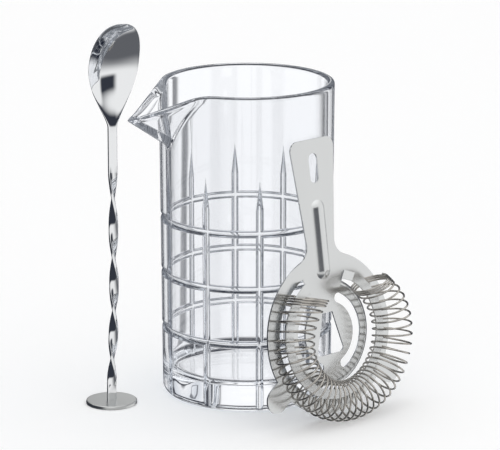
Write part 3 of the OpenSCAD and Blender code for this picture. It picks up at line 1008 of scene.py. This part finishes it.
def floor_material(look):
    """Matt pale floor that keeps shadows and is lifted a little towards white for the camera."""
    material, shader = new_material("pale_floor")
    surface = shader.node("ShaderNodeBsdfPrincipled")
    shader.put(surface.inputs["Base Color"], look.floor)
    surface.inputs["Roughness"].default_value = 0.8
    surface.inputs["Specular IOR Level"].default_value = 0.1
    rays = shader.node("ShaderNodeLightPath")
    surface.inputs["Emission Color"].default_value = (1, 1, 1, 1)
    glow = shader.math("MULTIPLY", rays.outputs["Is Camera Ray"], FLOOR_GLOW)
    shader.link(glow, surface.inputs["Emission Strength"])
    out = shader.node("ShaderNodeOutputMaterial")
    shader.link(surface.outputs["BSDF"], out.inputs["Surface"])
    return material


# The room round the set. Bands of its directions, each as (start, full, leave, end).
CEILING = (0.45, 0.8)
LEFT_WALL = (-0.35, -0.6)
FRONT_FLOOR = (-0.2, -0.62)
FRONT_FLOOR_SHARE = 0.9
TOWARDS_FLOOR = (0.0, -0.25)
FRONT_PANEL_HEIGHT = (-0.22, -0.06, 0.18, 0.36)
FRONT_PANEL_AHEAD = (-0.28, -0.42)
FRONT_PANEL_RIGHT = (0.22, 0.5)
CARDS_AHEAD = (0.6, 0.75)
CARDS_BESIDE = (0.03, 0.09)
NEAR_CARD = (0.18, 0.27, 0.32, 0.41)
FAR_CARD = (0.55, 0.62, 0.74, 0.82)
LEFT_STRIP = (-0.14, -0.12, -0.105, -0.085)
LEFT_STRIP_SHARE = 0.75
CARD_ABOVE = (0.0, 0.08, 0.19, 0.24)
CARD_BELOW = (-0.85, -0.75, -0.56, -0.42)
WHITE = (1.0, 1.0, 1.0)
CEILING_LIGHT = (1.25, 1.25, 1.25)
ROOM_DARK = (0.04, 0.045, 0.06)
BEHIND_GLASS = (1.05, 1.06, 1.08)
BEHIND_GLASS_DARK = (0.02, 0.025, 0.04)


def direction_share(shader, direction, axis):
    """How far a direction of the room points along an axis."""
    made = shader.node("ShaderNodeVectorMath", operation="DOT_PRODUCT")
    shader.link(direction, made.inputs[0])
    made.inputs[1].default_value = axis
    return made.outputs["Value"]


def room_in_reflections(shader, up, sideways, forward):
    """White room with a bright ceiling, dark at the left, low in front and beside the backdrop."""
    high = shader.ramp(up, *CEILING)
    not_high = shader.math("SUBTRACT", 1.0, high)
    beside = shader.math("ABSOLUTE", sideways)
    left_wall = shader.math("MULTIPLY", shader.ramp(sideways, *LEFT_WALL), not_high)
    low = shader.ramp(up, *FRONT_FLOOR, 0.0, FRONT_FLOOR_SHARE)
    front_floor = shader.math("MULTIPLY", low, shader.ramp(forward, *TOWARDS_FLOOR))
    right_front = shader.math(
        "MULTIPLY", shader.ramp(forward, *FRONT_PANEL_AHEAD), shader.ramp(sideways, *FRONT_PANEL_RIGHT)
    )
    front_panel = shader.math("MULTIPLY", right_front, shader.band(up, *FRONT_PANEL_HEIGHT))
    cards = shader.math(
        "MULTIPLY", shader.ramp(forward, *CARDS_AHEAD), shader.ramp(beside, *CARDS_BESIDE)
    )
    cards = shader.math("MULTIPLY", cards, not_high)
    dark = shader.largest(left_wall, cards, front_floor, front_panel)
    return shader.mix(dark, shader.mix(high, WHITE, CEILING_LIGHT), ROOM_DARK)


def room_through_glass(shader, up, sideways):
    """Pale backdrop with the dark cards that draw the edges of clear glass."""
    beside = shader.math("ABSOLUTE", sideways)
    strip = shader.math("MULTIPLY", shader.band(sideways, *LEFT_STRIP), LEFT_STRIP_SHARE)
    dark = shader.largest(
        shader.band(beside, *NEAR_CARD), shader.band(beside, *FAR_CARD), strip,
        shader.band(up, *CARD_ABOVE), shader.band(up, *CARD_BELOW),
    )
    return shader.mix(dark, BEHIND_GLASS, BEHIND_GLASS_DARK)


def light_room(look):
    """Soft studio room: plain white to the camera, with its own look in steel and in glass."""
    world = bpy.data.worlds.new("studio")
    world.use_nodes = True
    bpy.context.scene.world = world
    shader = Shader(world.node_tree)
    place = shader.node("ShaderNodeTexCoord")
    direction = place.outputs["Generated"]
    view = Vector(look.camera_target) - Vector(look.camera_place)
    ahead = Vector((view.x, view.y, 0)).normalized()
    up = direction_share(shader, direction, (0, 0, 1))
    sideways = direction_share(shader, direction, Vector((ahead.y, -ahead.x, 0)))
    forward = direction_share(shader, direction, ahead)
    rays = shader.node("ShaderNodeLightPath")
    reflected = room_in_reflections(shader, up, sideways, forward)
    through = room_through_glass(shader, up, sideways)
    seen = shader.mix(rays.outputs["Is Transmission Ray"], reflected, through)
    seen = shader.mix(rays.outputs["Is Camera Ray"], seen, WHITE)
    sky = shader.node("ShaderNodeBackground")
    shader.link(seen, sky.inputs["Color"])
    out = shader.node("ShaderNodeOutputWorld")
    shader.link(sky.outputs["Background"], out.inputs["Surface"])


class MODEL_OT_stage(bpy.types.Operator):
    """Lays the floor, lights the room and sets the camera"""

    bl_idname = "pitcher_set.set_stage"
    bl_label = "Set stage"

    def execute(self, context):
        look = context.scene.stage_settings
        deselect_all()
        bpy.ops.mesh.primitive_plane_add(size=2 * look.floor_size, location=(0, 0, 0))
        floor = bpy.context.object
        floor.name = "floor"
        floor.data.materials.append(floor_material(look))
        floor.visible_transmission = False
        floor.visible_glossy = False
        light_room(look)
        data = bpy.data.cameras.new("camera")
        data.lens = look.lens
        data.clip_end = 50
        camera = bpy.data.objects.new("camera", data)
        context.scene.collection.objects.link(camera)
        place, target = Vector(look.camera_place), Vector(look.camera_target)
        camera.location = place
        camera.rotation_euler = (target - place).to_track_quat("-Z", "Y").to_euler()
        context.scene.camera = camera
        context.scene.view_settings.view_transform = "Standard"
        return {"FINISHED"}


class MODEL_PT_pitcher_set(bpy.types.Panel):
    """Lists the steps that build the set"""

    bl_idname = "MODEL_PT_pitcher_set"
    bl_label = "Cocktail pitcher set"
    bl_space_type = "VIEW_3D"
    bl_region_type = "UI"
    bl_category = "Pitcher"

    def draw(self, context):
        for name, steps in STEPS.items():
            box = self.layout.box()
            for step in steps:
                box.operator(step.bl_idname)
            settings = getattr(context.scene, name)
            for key in settings.bl_rna.properties.keys():
                if key not in ("rna_type", "name"):
                    box.prop(settings, key)


STEPS = {
    "stage_settings": (MODEL_OT_stage,),
    "pitcher_settings": (MODEL_OT_pitcher,),
    "spoon_settings": (MODEL_OT_spoon, MODEL_OT_disc),
    "strainer_settings": (MODEL_OT_plate, MODEL_OT_spring),
}
OPERATORS = [step for steps in STEPS.values() for step in steps]
CLASSES = [*SETTINGS.values(), *OPERATORS, MODEL_PT_pitcher_set]


def register():
    for made in CLASSES:
        bpy.utils.register_class(made)
    for name, group in SETTINGS.items():
        setattr(bpy.types.Scene, name, bpy.props.PointerProperty(type=group))


def unregister():
    for name in SETTINGS:
        delattr(bpy.types.Scene, name)
    for made in reversed(CLASSES):
        bpy.utils.unregister_class(made)


def main():
    register()
    bpy.ops.pitcher_set.set_stage()
    bpy.ops.pitcher_set.model_pitcher()
    bpy.ops.pitcher_set.model_spoon()
    bpy.ops.pitcher_set.finish_disc()
    bpy.ops.pitcher_set.model_plate()
    bpy.ops.pitcher_set.wind_spring()


if __name__ == "__main__":
    main()
